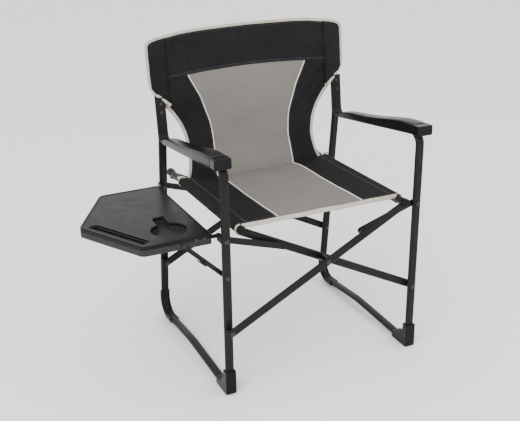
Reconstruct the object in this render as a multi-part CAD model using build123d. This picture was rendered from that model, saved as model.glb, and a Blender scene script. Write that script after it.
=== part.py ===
from build123d import *
import math
import os

# Folding armchair with a drop-leaf side table. Millimetres, +Z up, the sitter
# looks along -Y, the side table is on the -X side.
os.makedirs("parts", exist_ok=True)

# ---------------------------------------------------------------- dimensions
# origin: bottom centre of the whole object's box; chair centre plane is at X = OX
OX = 138.507
OY = 57.921

W = 280.0            # half distance between the two side frames (leg centres)
TUBE_W = 24.0        # side-frame tube, width along X
TUBE_T = 14.0        # side-frame tube, thickness in the side plane
WALL = 1.5

LEG_Y0 = -300.0      # front leg, Y at floor level
LEG_LEAN = -0.0457   # front leg, Y change per mm of height
POST_Y0 = 220.0      # rear post, Y at POST_Z0
POST_Z0 = 72.0
POST_LEAN = -0.1665  # rear post below the kink, Y change per mm
KINK_Z = 597.0
POST_TOP_Y = 153.9
POST_TOP_Z = 862.0

RUN_KINK_Y = -10.0   # crown of the arched floor runner
RUN_KINK_Z = 23.0
RUN_CORNER_Y = 230.6
RUN_CORNER_Z = 9.2
RUN_BEND_R = 46.0
FOOT_END = -236.0
RUN_FRONT_Y = -292.6
RUN_FRONT_Z = 9.5

ARM_Z0 = 609.5       # arm tube centre height at Y = 0
ARM_SLOPE = -0.113   # arm tube height change per mm of Y
RISER_W = 30.0       # flattened rear end of the arm tube
RISER_T = 7.0
RISER_TOP_Z = 716.0
PAD_IN = 17.5        # armrest half width towards the seat
PAD_OUT = 30.0       # armrest half width away from the seat

PIVOT_Z = 194.0      # lower scissor pivot height
CROSS_Z = 337.0      # scissor centre pin height
LINK_Z = 447.0       # stay link pivot height on the legs
LINK_P = 127.9       # stay link pivot distance from the centre pin
BAR_W = 22.0         # scissor bar, width in its own plane
BAR_T = 11.0         # scissor bar, thickness along Y
RAIL_X = 232.0       # seat rail centre
RAIL_Z = 462.5
RAIL_R = 9.5

YA_F = -333.0        # front bar of the first scissor frame (centre of thickness)
YB_F = -289.5        # front bar of the second scissor frame
YA_R = 176.0         # rear bar of the first scissor frame
YB_R = 215.5         # rear bar of the second scissor frame

PIN_R = 4.0
RUN_CLR = 0.06       # radial running clearance on moving pins

HINGE_X = -286.0     # side table hinge axis
HINGE_Z = 452.0
TRAY_TOP = 461.0
TRAY_H = 26.0
TRAY_X0 = -304.0
TRAY_FRONT = -291.0
TRAY_REAR = 131.0
BRACE_TX = -381.5    # folding brace pivot on the tray skirt
BRACE_TZ = 444.0
BRACE_LX = -280.0    # folding brace pivot on the leg
BRACE_LZ = 345.0

RISER_LEAN = (POST_TOP_Y - (POST_Y0 + POST_LEAN * (KINK_Z - POST_Z0))) / (POST_TOP_Z - KINK_Z)
THETA0 = math.atan2(CROSS_Z - PIVOT_Z, W)
BAR_A = math.hypot(W, CROSS_Z - PIVOT_Z)


def leg_y(z):
    return LEG_Y0 + LEG_LEAN * z


def post_y(z):
    if z <= KINK_Z:
        return POST_Y0 + POST_LEAN * (z - POST_Z0)
    y1 = POST_Y0 + POST_LEAN * (KINK_Z - POST_Z0)
    return y1 + (POST_TOP_Y - y1) * (z - KINK_Z) / (POST_TOP_Z - KINK_Z)


def arm_z(y):
    return ARM_Z0 + ARM_SLOPE * y


nodes = {}


def put(name, shape):
    nodes[name] = shape


def path_yz(x, pts, radii=None):
    p = [(x, y, z) for y, z in pts]
    if len(p) == 2:
        return Line(p[0], p[1])
    return FilletPolyline(*p, radius=radii)


def slot_at(path, w, t, at=0.0):
    pl = Plane(origin=path @ at, x_dir=(1, 0, 0), z_dir=path % at)
    return pl * SlotOverall(w, t)


def bar_sweep(path, w, t):
    return sweep(slot_at(path, w, t), path=path)


def tube_sweep(path, w, t, wall=WALL):
    return bar_sweep(path, w, t) - bar_sweep(path, w - 2 * wall, t - 2 * wall)


def rod(x, z, y0, y1, r):
    # round bar along Y
    return Pos(x, y0, z) * Rot(-90, 0, 0) * Cylinder(r, y1 - y0, align=(Align.CENTER, Align.CENTER, Align.MIN))


def head(x, z, y, r, h, toward):
    # low domed rivet head standing on the plane Y = y; toward = -1 front, +1 rear
    d = rod(x, z, min(y, y + toward * h), max(y, y + toward * h), r)
    e = d.edges().filter_by(GeomType.CIRCLE).sort_by(Axis.Y)[0 if toward < 0 else -1]
    return fillet(e, h * 0.62)


def box(x0, x1, y0, y1, z0, z1):
    return Pos((x0 + x1) / 2, (y0 + y1) / 2, (z0 + z1) / 2) * Box(x1 - x0, y1 - y0, z1 - z0)


def prism_x(pts, x0, x1):
    # YZ polygon extruded along X
    f = make_face(Polyline(*[(x0, y, z) for y, z in pts], close=True))
    return extrude(f, x1 - x0, dir=(1, 0, 0))


# ------------------------------------------------------------- side frames
def side(s, tag):
    x = s * W
    leg_path = path_yz(x, [(leg_y(3.0), 3.0), (leg_y(606.0), 606.0)])
    leg = tube_sweep(leg_path, TUBE_W, TUBE_T)

    # arm tube: bend over the leg, long arm, flattened end up the post's front
    za = arm_z(leg_y(640.0))
    uy = (POST_TOP_Y - post_y(KINK_Z)) / (POST_TOP_Z - KINK_Z)
    off = (TUBE_T / 2 + RISER_T / 2) * 1.004 + 0.5
    yc = post_y(KINK_Z) - off
    a_path = path_yz(x, [(leg_y(606.15), 606.15), (leg_y(za), za), (60.0, arm_z(60.0))], [30.0])
    arm = tube_sweep(a_path, TUBE_W, TUBE_T)
    d = Vector(0, 1, ARM_SLOPE).normalized()
    p0 = Plane(origin=(x, 60.0, arm_z(60.0)), x_dir=(1, 0, 0), z_dir=d)
    p1 = Plane(origin=(x, 84.0, arm_z(84.0)), x_dir=(1, 0, 0), z_dir=d)
    tail = loft([p0 * SlotOverall(TUBE_W, TUBE_T), p1 * SlotOverall(RISER_W, RISER_T)])
    zr = arm_z(yc)
    r_path = path_yz(x, [(84.0, arm_z(84.0)), (yc, zr),
                         (yc + uy * (RISER_TOP_Z - zr), RISER_TOP_Z)], [20.0])
    tail += bar_sweep(r_path, RISER_W, RISER_T)
    arm = Compound(children=[*arm.solids(), *tail.solids()])

    post_path = path_yz(x, [(post_y(POST_Z0), POST_Z0), (post_y(KINK_Z), KINK_Z),
                            (POST_TOP_Y, POST_TOP_Z)], [90.0])
    post = tube_sweep(post_path, TUBE_W, TUBE_T)

    run_path = path_yz(x, [(post_y(POST_Z0) + 0.02, POST_Z0 - 0.12), (RUN_CORNER_Y, RUN_CORNER_Z),
                           (RUN_KINK_Y, RUN_KINK_Z), (RUN_FRONT_Y, RUN_FRONT_Z)], [RUN_BEND_R, 300.0])
    runner = tube_sweep(run_path, TUBE_W, TUBE_T)
    run_solid = bar_sweep(run_path, TUBE_W, TUBE_T)
    leg_solid = bar_sweep(leg_path, TUBE_W, TUBE_T)

    # foot boot over the corner of leg and runner
    foot = prism_x([(-311.5, 0), (leg_y(71) - 11.0, 71), (leg_y(71) + 11.0, 71), (-289.5, 52),
                    (-268.0, 25.5), (FOOT_END, 23.2), (FOOT_END, 1.6), (-262.0, 0)], x - 15.0, x + 15.0)
    fe = foot.edges().filter_by(Axis.X)
    foot = fillet([e for e in fe if e.center().Y < -300 and e.center().Z < 5], 6.0)
    fe = foot.edges().filter_by(Axis.X)
    foot = fillet([e for e in fe if 20 < e.center().Z < 60], 5.0)
    foot = chamfer(foot.edges().filter_by(lambda e: abs(e.center().X - x) > 14.9), 1.8)
    foot = foot - leg_solid - run_solid

    # corner guard over the floor bend, ribbed
    g_path = path_yz(x, [(post_y(82.0), 82.0), (RUN_CORNER_Y, RUN_CORNER_Z),
                         (143.0, RUN_CORNER_Z + (RUN_KINK_Z - RUN_CORNER_Z) * (RUN_CORNER_Y - 143.0)
                          / (RUN_CORNER_Y - RUN_KINK_Y))], [RUN_BEND_R])
    guard = bar_sweep(g_path, 30.0, 20.0)
    g0 = Plane(origin=g_path @ 0, x_dir=(1, 0, 0), z_dir=g_path % 0)
    guard = guard - sweep(g0 * (Pos(0, 12.0) * Rectangle(19.0, 12.0)), path=g_path)
    post_solid = bar_sweep(post_path, TUBE_W, TUBE_T)
    guard = guard - run_solid - post_solid

    # armrest pad: tapered moulding saddled on the arm tube, and its front cap
    xi, xo = x - s * PAD_IN, x + s * PAD_OUT
    top = [(92, arm_z(92) + 8), (70, 613), (30, 621.5), (-20, 627.5), (-70, 633.5), (-125, 642.5),
           (-195, 657.0), (-245, 665.5), (-285, 668.5), (-318, 668.0)]
    low = [(-318, arm_z(-318) - 6.5), (92, arm_z(92) - 6.5)]
    body = prism_x(top + low, min(xi, xo), max(xi, xo))
    xr_i, xr_o = x - s * 14.5, x + s * 17.0
    plan = make_face(Polyline((xr_i, 93, 560), (xr_o, 93, 560), (x + s * 19, 40, 560), (x + s * 26, -90, 560),
                              (xo, -200, 560), (xo, -330, 560), (xi, -330, 560), (xi, -200, 560),
                              (x - s * 16.0, -90, 560), (x - s * 14.5, 40, 560), close=True))
    pad = body & extrude(plan, 140, dir=(0, 0, 1))
    arm_solid = bar_sweep(a_path, TUBE_W + 0.3, TUBE_T + 0.3)
    pad = pad - arm_solid - leg_solid
    pad = pad - loft([p0 * SlotOverall(TUBE_W + 0.3, TUBE_T + 0.3), p1 * SlotOverall(RISER_W + 0.6, RISER_T + 0.6)])
    pad = pad - bar_sweep(r_path, RISER_W + 0.6, RISER_T + 0.6)
    pad = pad.solids().sort_by(SortBy.VOLUME)[-1]
    cap = box(min(xi, xo) + 0.6, max(xi, xo) - 0.6, -344.5, -318.2, 640.0, 667.0)
    cap = fillet(cap.edges().filter_by(Axis.Z).group_by(Axis.Y)[0], 5.0)
    cap = fillet(cap.edges().filter_by(Axis.X).group_by(Axis.Y)[0], 3.5)
    leg_up = bar_sweep(path_yz(x, [(leg_y(600), 600), (leg_y(640.0), 640.0)]), TUBE_W + 0.3, TUBE_T + 0.3)
    cap = cap - arm_solid - leg_up
    cap = cap.solids().sort_by(SortBy.VOLUME)[-1]

    # plug in the open top of the post
    top_p = Plane(origin=(x, POST_TOP_Y, POST_TOP_Z), x_dir=(1, 0, 0), z_dir=(0, uy, 1))
    plug = extrude(top_p * SlotOverall(TUBE_W, TUBE_T), 3.0)
    plug += extrude(top_p * SlotOverall(TUBE_W - 2 * WALL, TUBE_T - 2 * WALL), -12.0)
    return dict(leg=leg, arm=arm, post=post, runner=runner, foot=foot, guard=guard, pad=pad, cap=cap, plug=plug,
                g_path=g_path, riser_front=lambda z: yc + uy * (z - zr) - RISER_T / 2 * 1.0033)


L = side(-1, "left")
R = side(1, "right")


# ------------------------------------------------------------- scissor frames
def bar(s, yc):
    # bar from the lower pivot on side -s, through the centre pin, to the rail on side s
    c, n = math.cos(THETA0), math.sin(THETA0)
    a = (-s * (W + 13.0 * c), yc, PIVOT_Z - 13.0 * n)
    ln = BAR_A + 13.0 + 262.0
    d = Vector(s * c, 0, n)
    pl = Plane(origin=a, x_dir=(0, 1, 0), z_dir=d)
    outer = extrude(pl * SlotOverall(BAR_W, BAR_T, rotation=90), ln)
    inner = extrude(pl * SlotOverall(BAR_W - 2 * WALL, BAR_T - 2 * WALL, rotation=90), ln)
    b = outer - inner
    b += rod(s * RAIL_X, RAIL_Z, yc - BAR_T / 2, yc + BAR_T / 2, 11.3)
    b = b - rod(s * RAIL_X, RAIL_Z, yc - 20, yc + 20, RAIL_R)
    return b


def rail(s, y0, y1):
    return rod(s * RAIL_X, RAIL_Z, y0, y1, RAIL_R) - rod(s * RAIL_X, RAIL_Z, y0 - 1, y1 + 1, RAIL_R - 1.3)


def rail_cap(s, y, toward):
    # plastic end plug with a domed collar
    a, b2 = (y - 7.0, y) if toward < 0 else (y, y + 7.0)
    c = rod(s * RAIL_X, RAIL_Z, a, b2, 12.0)
    e = c.edges().filter_by(GeomType.CIRCLE).sort_by(Axis.Y)[0 if toward < 0 else -1]
    c = fillet(e, 3.0)
    p0, p1 = (y, y + 14.0) if toward < 0 else (y - 14.0, y)
    return c + rod(s * RAIL_X, RAIL_Z, p0, p1, RAIL_R - 1.3)


A_Y0, A_Y1 = YA_F - BAR_T / 2 - 2.0, YA_R + BAR_T / 2 + 2.0
B_Y0, B_Y1 = YB_F - BAR_T / 2 - 9.0, YB_R + BAR_T / 2 + 2.0
a_front, a_rear = bar(1, YA_F), bar(1, YA_R)
b_front, b_rear = bar(-1, YB_F), bar(-1, YB_R)


def drill(shape, x, z, y0, y1, r):
    return shape - rod(x, z, y0, y1, r)


# centre pins: fixed in the first frame, running in the second
pin_f0, pin_f1 = YA_F - BAR_T / 2, YB_F + BAR_T / 2
pin_r0, pin_r1 = YA_R - BAR_T / 2, YB_R + BAR_T / 2
a_front = drill(a_front, 0, CROSS_Z, YA_F - 9, YA_F + 9, PIN_R)
a_rear = drill(a_rear, 0, CROSS_Z, YA_R - 9, YA_R + 9, PIN_R)
b_front = drill(b_front, 0, CROSS_Z, YB_F - 9, YB_F + 9, PIN_R + RUN_CLR)
b_rear = drill(b_rear, 0, CROSS_Z, YB_R - 9, YB_R + 9, PIN_R + RUN_CLR)
put("centre_pin_front", rod(0, CROSS_Z, pin_f0, pin_f1 + 0.4, PIN_R)
    + head(0, CROSS_Z, pin_f0, 7.0, 2.6, -1) + head(0, CROSS_Z, pin_f1 + 0.4, 7.0, 2.6, 1))
put("centre_pin_rear", rod(0, CROSS_Z, pin_r0, pin_r1 + 0.4, PIN_R)
    + head(0, CROSS_Z, pin_r0, 7.0, 2.6, -1) + head(0, CROSS_Z, pin_r1 + 0.4, 7.0, 2.6, 1))
sp_f = rod(0, CROSS_Z, YA_F + BAR_T / 2, YB_F - BAR_T / 2 - 0.4, 9.0) - rod(0, CROSS_Z, -400, 0, PIN_R)
sp_r = rod(0, CROSS_Z, YA_R + BAR_T / 2, YB_R - BAR_T / 2 - 0.4, 9.0) - rod(0, CROSS_Z, 0, 400, PIN_R)
put("centre_spacers", Compound(children=[sp_f, sp_r]))

# lower pivots: pins fixed in the legs, running in the bars
FACE = TUBE_T / 2
zl = PIVOT_Z
LP = {}


def lower_pin(s, y_leg, y_bar, toward):
    # y_bar in front of (toward -1) or behind (+1) the leg
    y_out = y_bar + toward * (BAR_T / 2 + 0.4)
    y_in = y_leg - toward * (FACE + 0.9)
    y0, y1 = min(y_out, y_in), max(y_out, y_in)
    p = rod(s * W, zl, y0, y1, PIN_R)
    p += head(s * W, zl, y_out, 7.0, 2.6, toward)
    p += head(s * W, zl, y_in, 6.5, 2.2, -toward)
    return p


def spacer(x, z, y0, y1, r, hole):
    return rod(x, z, y0, y1, r) - rod(x, z, y0 - 1, y1 + 1, hole)


pins_l = Compound(children=[lower_pin(-1, leg_y(zl), YA_F, -1), lower_pin(-1, post_y(zl), YA_R, -1)])
pins_r = Compound(children=[lower_pin(1, leg_y(zl), YB_F, 1), lower_pin(1, post_y(zl), YB_R, 1)])
a_front = drill(a_front, -W, zl, YA_F - 9, YA_F + 9, PIN_R + RUN_CLR)
a_rear = drill(a_rear, -W, zl, YA_R - 9, YA_R + 9, PIN_R + RUN_CLR)
b_front = drill(b_front, W, zl, YB_F - 9, YB_F + 9, PIN_R + RUN_CLR)
b_rear = drill(b_rear, W, zl, YB_R - 9, YB_R + 9, PIN_R + RUN_CLR)


def leg_spacer(s, z, y_tube, lean, y_to, toward, r=8.0):
    # washer from the leaning tube's face to the plane y_to
    y0, y1 = (y_to, y_tube) if toward < 0 else (y_tube, y_to)
    c = rod(s * W, z, y0, y1, r)
    cut = Pos(s * W, y_tube, z) * Rot(math.degrees(math.atan(-lean)), 0, 0) * Box(60, 2 * (FACE + 0.05), 60)
    c = c - cut - rod(s * W, z, y0 - 2, y1 + 2, PIN_R)
    return c


sp_l = Compound(children=[
    leg_spacer(-1, zl, leg_y(zl), LEG_LEAN, YA_F + BAR_T / 2 + 0.4, -1),
    leg_spacer(-1, zl, post_y(zl), POST_LEAN, YA_R + BAR_T / 2 + 0.4, -1)])
sp_rr = Compound(children=[
    leg_spacer(1, zl, leg_y(zl), LEG_LEAN, YB_F - BAR_T / 2 - 0.4, 1),
    leg_spacer(1, zl, post_y(zl), POST_LEAN, YB_R - BAR_T / 2 - 0.4, 1)])

# ------------------------------------------------------------- stay links
LK_T = 3.0
YLF = -309.0         # front links, front face
YLR_L = 168.6        # left rear link, front face
YLR_R = 167.0        # right rear link, front face
px = LINK_P * math.cos(THETA0)
pz = CROSS_Z + LINK_P * math.sin(THETA0)


def link(s, y0, ridge_to=1):
    a = Vector(s * W, 0, LINK_Z)
    b = Vector(s * px, 0, pz)
    d = (b - a)
    ln = d.length
    u = d.normalized()
    pl = Plane(origin=(a.X, y0 + LK_T, a.Z), x_dir=u, z_dir=(0, -1, 0))
    face = Pos(ln / 2, 0) * SlotCenterToCenter(ln, 17.0)
    p = extrude(pl * face, LK_T)
    pr = Plane(origin=(a.X, y0 + LK_T + (1.2 if ridge_to > 0 else 0.0), a.Z), x_dir=u, z_dir=(0, -1, 0))
    p += extrude(pr * (Pos(ln / 2, 0) * SlotCenterToCenter(ln - 52, 6.0)), LK_T + 1.2)
    return p - rod(s * W, LINK_Z, y0 - 3, y0 + LK_T + 3, PIN_R + RUN_CLR)


put("left_front_link", link(-1, YLF, 1) + head(-px, pz, YLF, 6.0, 2.0, -1))
put("left_rear_link", link(-1, YLR_L) + head(-px, pz, YLR_L, 6.0, 2.0, -1))
put("right_front_link", link(1, YLF) + head(px, pz, YLF + LK_T, 6.0, 2.0, 1))
put("right_rear_link", link(1, YLR_R, -1) + head(px, pz, YLR_R, 6.0, 2.0, -1))


def link_pin(s, y_tube, lean, y0):
    # rivet through the tube and the link's eye, with a washer between them
    y_in = y_tube - (FACE + 0.9)
    y_out = y0 + LK_T + 0.3
    p = rod(s * W, LINK_Z, y_in, y_out, PIN_R) + head(s * W, LINK_Z, y_in, 6.5, 2.2, -1)
    p += head(s * W, LINK_Z, y_out, 6.5, 2.0, 1)
    w = leg_spacer(s, LINK_Z, y_tube, lean, y0 - 0.4, 1, 7.5)
    return p, w


lp = {}
for nm, s, yt, lean, y0 in (("lf", -1, leg_y(LINK_Z), LEG_LEAN, YLF), ("lr", -1, post_y(LINK_Z), POST_LEAN, YLR_L),
                            ("rf", 1, leg_y(LINK_Z), LEG_LEAN, YLF), ("rr", 1, post_y(LINK_Z), POST_LEAN, YLR_R)):
    lp[nm] = link_pin(s, yt, lean, y0)
put("left_pivot_rivets", Compound(children=[*pins_l.solids(), *lp["lf"][0].solids(), *lp["lr"][0].solids()]))
put("right_pivot_rivets", Compound(children=[*pins_r.solids(), *lp["rf"][0].solids(), *lp["rr"][0].solids()]))
put("left_pivot_washers", Compound(children=[*sp_l.solids(), *lp["lf"][1].solids(), *lp["lr"][1].solids()]))
put("right_pivot_washers", Compound(children=[*sp_rr.solids(), *lp["rf"][1].solids(), *lp["rr"][1].solids()]))

# standoff posts on the scissor bars for the links' free ends
so_b = [rod(-px, pz, YLF + LK_T + 1.6, YB_F - BAR_T / 2, 6.0),
        rod(-px, pz, YLR_L + LK_T + 1.6, YB_R - BAR_T / 2, 6.0)]
so_a = [rod(px, pz, YA_F + BAR_T / 2, YLF - 0.4, 6.0)]
put("link_standoffs_b", Compound(children=so_b))
put("link_standoff_a", so_a[0])

put("scissor_bar_a_front", a_front)
put("scissor_bar_a_rear", a_rear)
put("scissor_bar_b_front", b_front)
put("scissor_bar_b_rear", b_rear)
put("right_seat_rail", rail(1, A_Y0, A_Y1))
put("left_seat_rail", rail(-1, B_Y0, B_Y1))
put("right_rail_caps", Compound(children=[rail_cap(1, A_Y0, -1), rail_cap(1, A_Y1, 1)]))
put("left_rail_caps", Compound(children=[rail_cap(-1, B_Y0, -1), rail_cap(-1, B_Y1, 1)]))


# ------------------------------------------------------------- side table
def tray_face(inset, z):
    pts = [(TRAY_X0, TRAY_FRONT), (TRAY_X0, TRAY_REAR), (-478.0, TRAY_REAR - 2.0),
           (-590.0, -86.0), (-486.0, TRAY_FRONT)]
    f = make_face(Polyline(*[(a, b, z) for a, b in pts], close=True))
    vs = f.vertices()
    f = fillet([v for v in vs if v.X > -310], 8.0)
    f = fillet([v for v in f.vertices() if v.X < -470 and v.Y > 100], 24.0)
    f = fillet([v for v in f.vertices() if v.X < -580], 24.0)
    f = fillet([v for v in f.vertices() if -500 < v.X < -470 and v.Y < -280], 18.0)
    if inset:
        f = offset(f, -inset, kind=Kind.ARC)
    return f


Z1 = TRAY_TOP
Z0 = TRAY_TOP - TRAY_H
tray = extrude(tray_face(0, Z0), TRAY_H, dir=(0, 0, 1))
tray = fillet(tray.faces().sort_by(Axis.Z)[-1].edges(), 3.0)
tray = tray - extrude(tray_face(3.0, Z0 - 1), TRAY_H - 2.0, dir=(0, 0, 1))
CUP_X, CUP_Y, CUP_R, CUP_D = -388.0, -207.0, 46.0, 22.0


def cup_face(grow, z):
    c = Pos(CUP_X, CUP_Y, z) * Circle(CUP_R + grow)
    n = Pos(CUP_X, CUP_Y + 50.0, z) * Rectangle(32.0 + 2 * grow, 90.0 + 2 * grow)
    n = fillet([v for v in n.vertices() if v.Y > CUP_Y + 80], 9.0 + grow)
    return c + n


tray += extrude(cup_face(2.5, Z0 + 0.5), CUP_D + 2.0, dir=(0, 0, 1))
tray = tray - extrude(cup_face(0, Z1 - CUP_D), CUP_D + 5, dir=(0, 0, 1))
# groove along the front-outer edge
gdir = Vector(104.0, -205.0, 0).normalized()
GX, GY = -513.0, -179.0
gpl = Plane(origin=(GX, GY, 0), x_dir=gdir, z_dir=(0, 0, 1))


def groove(grow, z0, h):
    return extrude(Plane(origin=(GX, GY, z0), x_dir=gdir, z_dir=(0, 0, 1)) * SlotOverall(188.0 + 2 * grow, 15.0 + 2 * grow), h)


tray += groove(2.5, Z1 - 12.0, 10.0)
tray += extrude(Plane(origin=(GX, GY, Z1 - 6.5), x_dir=gdir, z_dir=(0, 0, 1)) * SlotOverall(210.0, 35.0), 4.0)
tray = tray - groove(0, Z1 - 10.0, 12.0)
tray = tray - extrude(tray_face(5.0, Z1 - 1.2), 5.0, dir=(0, 0, 1))
tray = tray - extrude(Plane(origin=(GX, GY, Z1 - 4.0), x_dir=gdir, z_dir=(0, 0, 1)) * SlotOverall(204.0, 30.0), 12.0)
tray = tray - (extrude(tray_face(0, Z1 - 10.0), 1.3, dir=(0, 0, 1)) - extrude(tray_face(1.1, Z1 - 11.0), 4.0, dir=(0, 0, 1)))
RIM = 2.0
tray = tray - extrude(Plane(origin=(CUP_X, CUP_Y, Z1 - 1.19)) * Circle(CUP_R + RIM), -RIM, taper=45)
tray = tray - extrude(Plane(origin=(CUP_X, CUP_Y + 50.0, Z1 - 1.19)) * Rectangle(32.0 + 2 * RIM, 90.0 + 2 * RIM), -RIM, taper=45)
# stiffening ribs under the top
tray += box(-470, -308, -60, -57.5, Z0 + 8, Z1 - 2)
tray += box(-430, -308, 30, 32.5, Z0 + 8, Z1 - 2)
put("table_tray", tray)

AY_F0, AY_F1 = TRAY_FRONT + 3.1, TRAY_FRONT + 6.1       # front hinge arm
AY_R0, AY_R1 = TRAY_REAR - 6.1, TRAY_REAR - 3.1         # rear hinge arm


def hinge_arm(y0, y1):
    a = box(-362, HINGE_X, y0, y1, HINGE_Z - 5, HINGE_Z + 5)
    a += rod(HINGE_X, HINGE_Z, y0, y1, 7.0)
    return a - rod(HINGE_X, HINGE_Z, y0 - 1, y1 + 1, 3.5 + RUN_CLR)


ha_f, ha_r = hinge_arm(AY_F0, AY_F1), hinge_arm(AY_R0, AY_R1)
tray_cut = tray - box(-366, -300, AY_F0 - 0.1, AY_F1 + 0.1, HINGE_Z - 8, HINGE_Z + 6)
tray_cut = tray_cut - box(-366, -300, AY_R0 - 0.1, AY_R1 + 0.1, HINGE_Z - 8, HINGE_Z + 6)
# slots in the inner skirt where the arms pass out
tray_cut = tray_cut.solids().sort_by(SortBy.VOLUME)[-1]
nodes["table_tray"] = tray_cut
put("table_hinge_arms", Compound(children=[ha_f, ha_r]))
trv = []
for xx in (-347.0, -325.0):
    trv.append(head(xx, HINGE_Z, TRAY_FRONT, 4.5, 1.8, -1))
    trv.append(head(xx, HINGE_Z, TRAY_REAR, 4.5, 1.8, 1))
put("table_arm_rivets", Compound(children=trv))


def hinge_bracket(ear_y, tube_y, outer_to):
    # plate on the outer side of the tube with an ear that holds the hinge pin
    x0, x1 = -W - TUBE_W / 2 - 2.6, -W - TUBE_W / 2 - 0.1
    y0, y1 = min(ear_y, outer_to), max(ear_y + 2.5, outer_to)
    p = box(x0, x1, y0, y1, HINGE_Z - 8, HINGE_Z + 8)
    p += box(x0, -280.5, ear_y, ear_y + 2.5, HINGE_Z - 8, HINGE_Z + 8)
    return p - rod(HINGE_X, HINGE_Z, ear_y - 2, ear_y + 5, 3.5)


EAR_F, EAR_R = -299.5, 137.0
br_f = hinge_bracket(EAR_F, leg_y(HINGE_Z), leg_y(HINGE_Z) - 4)
br_r = hinge_bracket(EAR_R, post_y(HINGE_Z), post_y(HINGE_Z) + 5)
put("table_hinge_brackets", Compound(children=[br_f, br_r]))
hp_f = rod(HINGE_X, HINGE_Z, EAR_F - 0.8, AY_F1 + 0.5, 3.5) + head(HINGE_X, HINGE_Z, EAR_F - 0.8, 5.0, 1.8, -1) \
    + head(HINGE_X, HINGE_Z, AY_F1 + 0.5, 5.5, 1.8, 1)
hp_r = rod(HINGE_X, HINGE_Z, AY_R0 - 0.5, EAR_R + 3.3, 3.5) + head(HINGE_X, HINGE_Z, AY_R0 - 0.5, 5.5, 1.8, -1) \
    + head(HINGE_X, HINGE_Z, EAR_R + 3.3, 5.0, 1.8, 1)
put("table_hinge_pins", Compound(children=[hp_f, hp_r]))

# folding braces under the tray, knuckle at K
T = Vector(BRACE_TX, 0, BRACE_TZ)
Lv = Vector(BRACE_LX, 0, BRACE_LZ)
tot = (T - Lv).length
rx, rz = BRACE_TX - HINGE_X, BRACE_TZ - HINGE_Z
T_fold = Vector(HINGE_X - rz, 0, HINGE_Z + rx)
gap = (T_fold - Lv).length
UP = (tot + gap) / 2
LO = (tot - gap) / 2
K = T + (Lv - T).normalized() * UP
print("brace upper", UP, "lower", LO, "knuckle", K, "folded T", T_fold)
BT = 2.5


def brace_seg(p, q, y0, w=12.0):
    d = q - p
    pl = Plane(origin=(p.X, y0 + BT, p.Z), x_dir=d.normalized(), z_dir=(0, -1, 0))
    return extrude(pl * (Pos(d.length / 2, 0) * SlotCenterToCenter(d.length, w)), BT)


def brace_set(y_up, y_lo, y_skirt, y_tube, lean, toward):
    # toward: +1 when the tray is behind the brace (front brace), -1 for the rear brace
    up = brace_seg(T, K, y_up)
    up = up - rod(T.X, T.Z, y_up - 1, y_up + BT + 1, 3.5 + RUN_CLR)
    out = y_up if toward > 0 else y_up + BT
    lo = brace_seg(Lv, K, y_lo)
    lo = lo - rod(Lv.X, Lv.Z, y_lo - 1, y_lo + BT + 1, 3.5 + RUN_CLR)
    # knuckle rivet stands on the lower segment's open face
    yk = y_lo if toward > 0 else y_lo + BT
    lo += head(K.X, K.Z, yk, 5.0, 1.8, -toward)
    # stop tab under the upper segment
    d = (K - T).normalized()
    n = Vector(-d.Z, 0, d.X)
    if n.Z > 0:
        n = n * -1
    c = K - d * 9.0 + n * 8.1
    ya, yb = (y_lo - 1.8, y_lo + BT) if toward > 0 else (y_lo, y_lo + BT + 1.8)
    pl = Plane(origin=(c.X, ya, c.Z), x_dir=d, z_dir=(0, 1, 0))
    tab = extrude(pl * Rectangle(30.0, 3.2), yb - ya)
    web = extrude(Plane(origin=(K.X - d.X * 4 + n.X * 6.5, y_lo, K.Z - d.Z * 4 + n.Z * 6.5), x_dir=d, z_dir=(0, 1, 0))
                  * Rectangle(20.0, 6.4), BT)
    lo = lo + tab + web
    # pivot on the tray skirt
    ps0, ps1 = (y_up - 0.4, y_skirt) if toward > 0 else (y_skirt, y_up + BT + 0.4)
    tp = rod(T.X, T.Z, ps0, ps1, 3.5)
    if toward > 0:
        tp += head(T.X, T.Z, ps0, 4.8, 2.0, -1)
        boss = rod(T.X, T.Z, y_up + BT + 0.3, y_skirt, 9.0) - rod(T.X, T.Z, y_up, y_skirt + 1, 3.5)
    else:
        tp += head(T.X, T.Z, ps1, 4.8, 2.0, 1)
        boss = rod(T.X, T.Z, y_skirt, y_up - 0.3, 9.0) - rod(T.X, T.Z, y_skirt - 1, y_up + 1, 3.5)
    # pivot on the leg
    if toward > 0:
        q0, q1 = y_tube - FACE - 0.9, y_lo + BT + 0.15
        qp = rod(Lv.X, Lv.Z, q0, q1, 3.5) + head(Lv.X, Lv.Z, q0, 6.0, 2.0, -1)
        c0 = rod(Lv.X, Lv.Z, y_tube, y_lo - 0.3, 7.0)
    else:
        q0, q1 = y_lo - 0.15, y_tube + FACE + 1.1
        qp = rod(Lv.X, Lv.Z, q0, q1, 3.5) + head(Lv.X, Lv.Z, q1, 6.0, 2.0, 1)
        c0 = rod(Lv.X, Lv.Z, y_lo + BT + 0.3, y_tube, 7.0)
    cut = Pos(Lv.X, y_tube, Lv.Z) * Rot(math.degrees(math.atan(-lean)), 0, 0) * Box(60, 2 * (FACE + 0.05), 60)
    c0 = c0 - cut - rod(Lv.X, Lv.Z, -400, 400, 3.5)
    return up, lo, tp, boss, qp, c0


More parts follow.
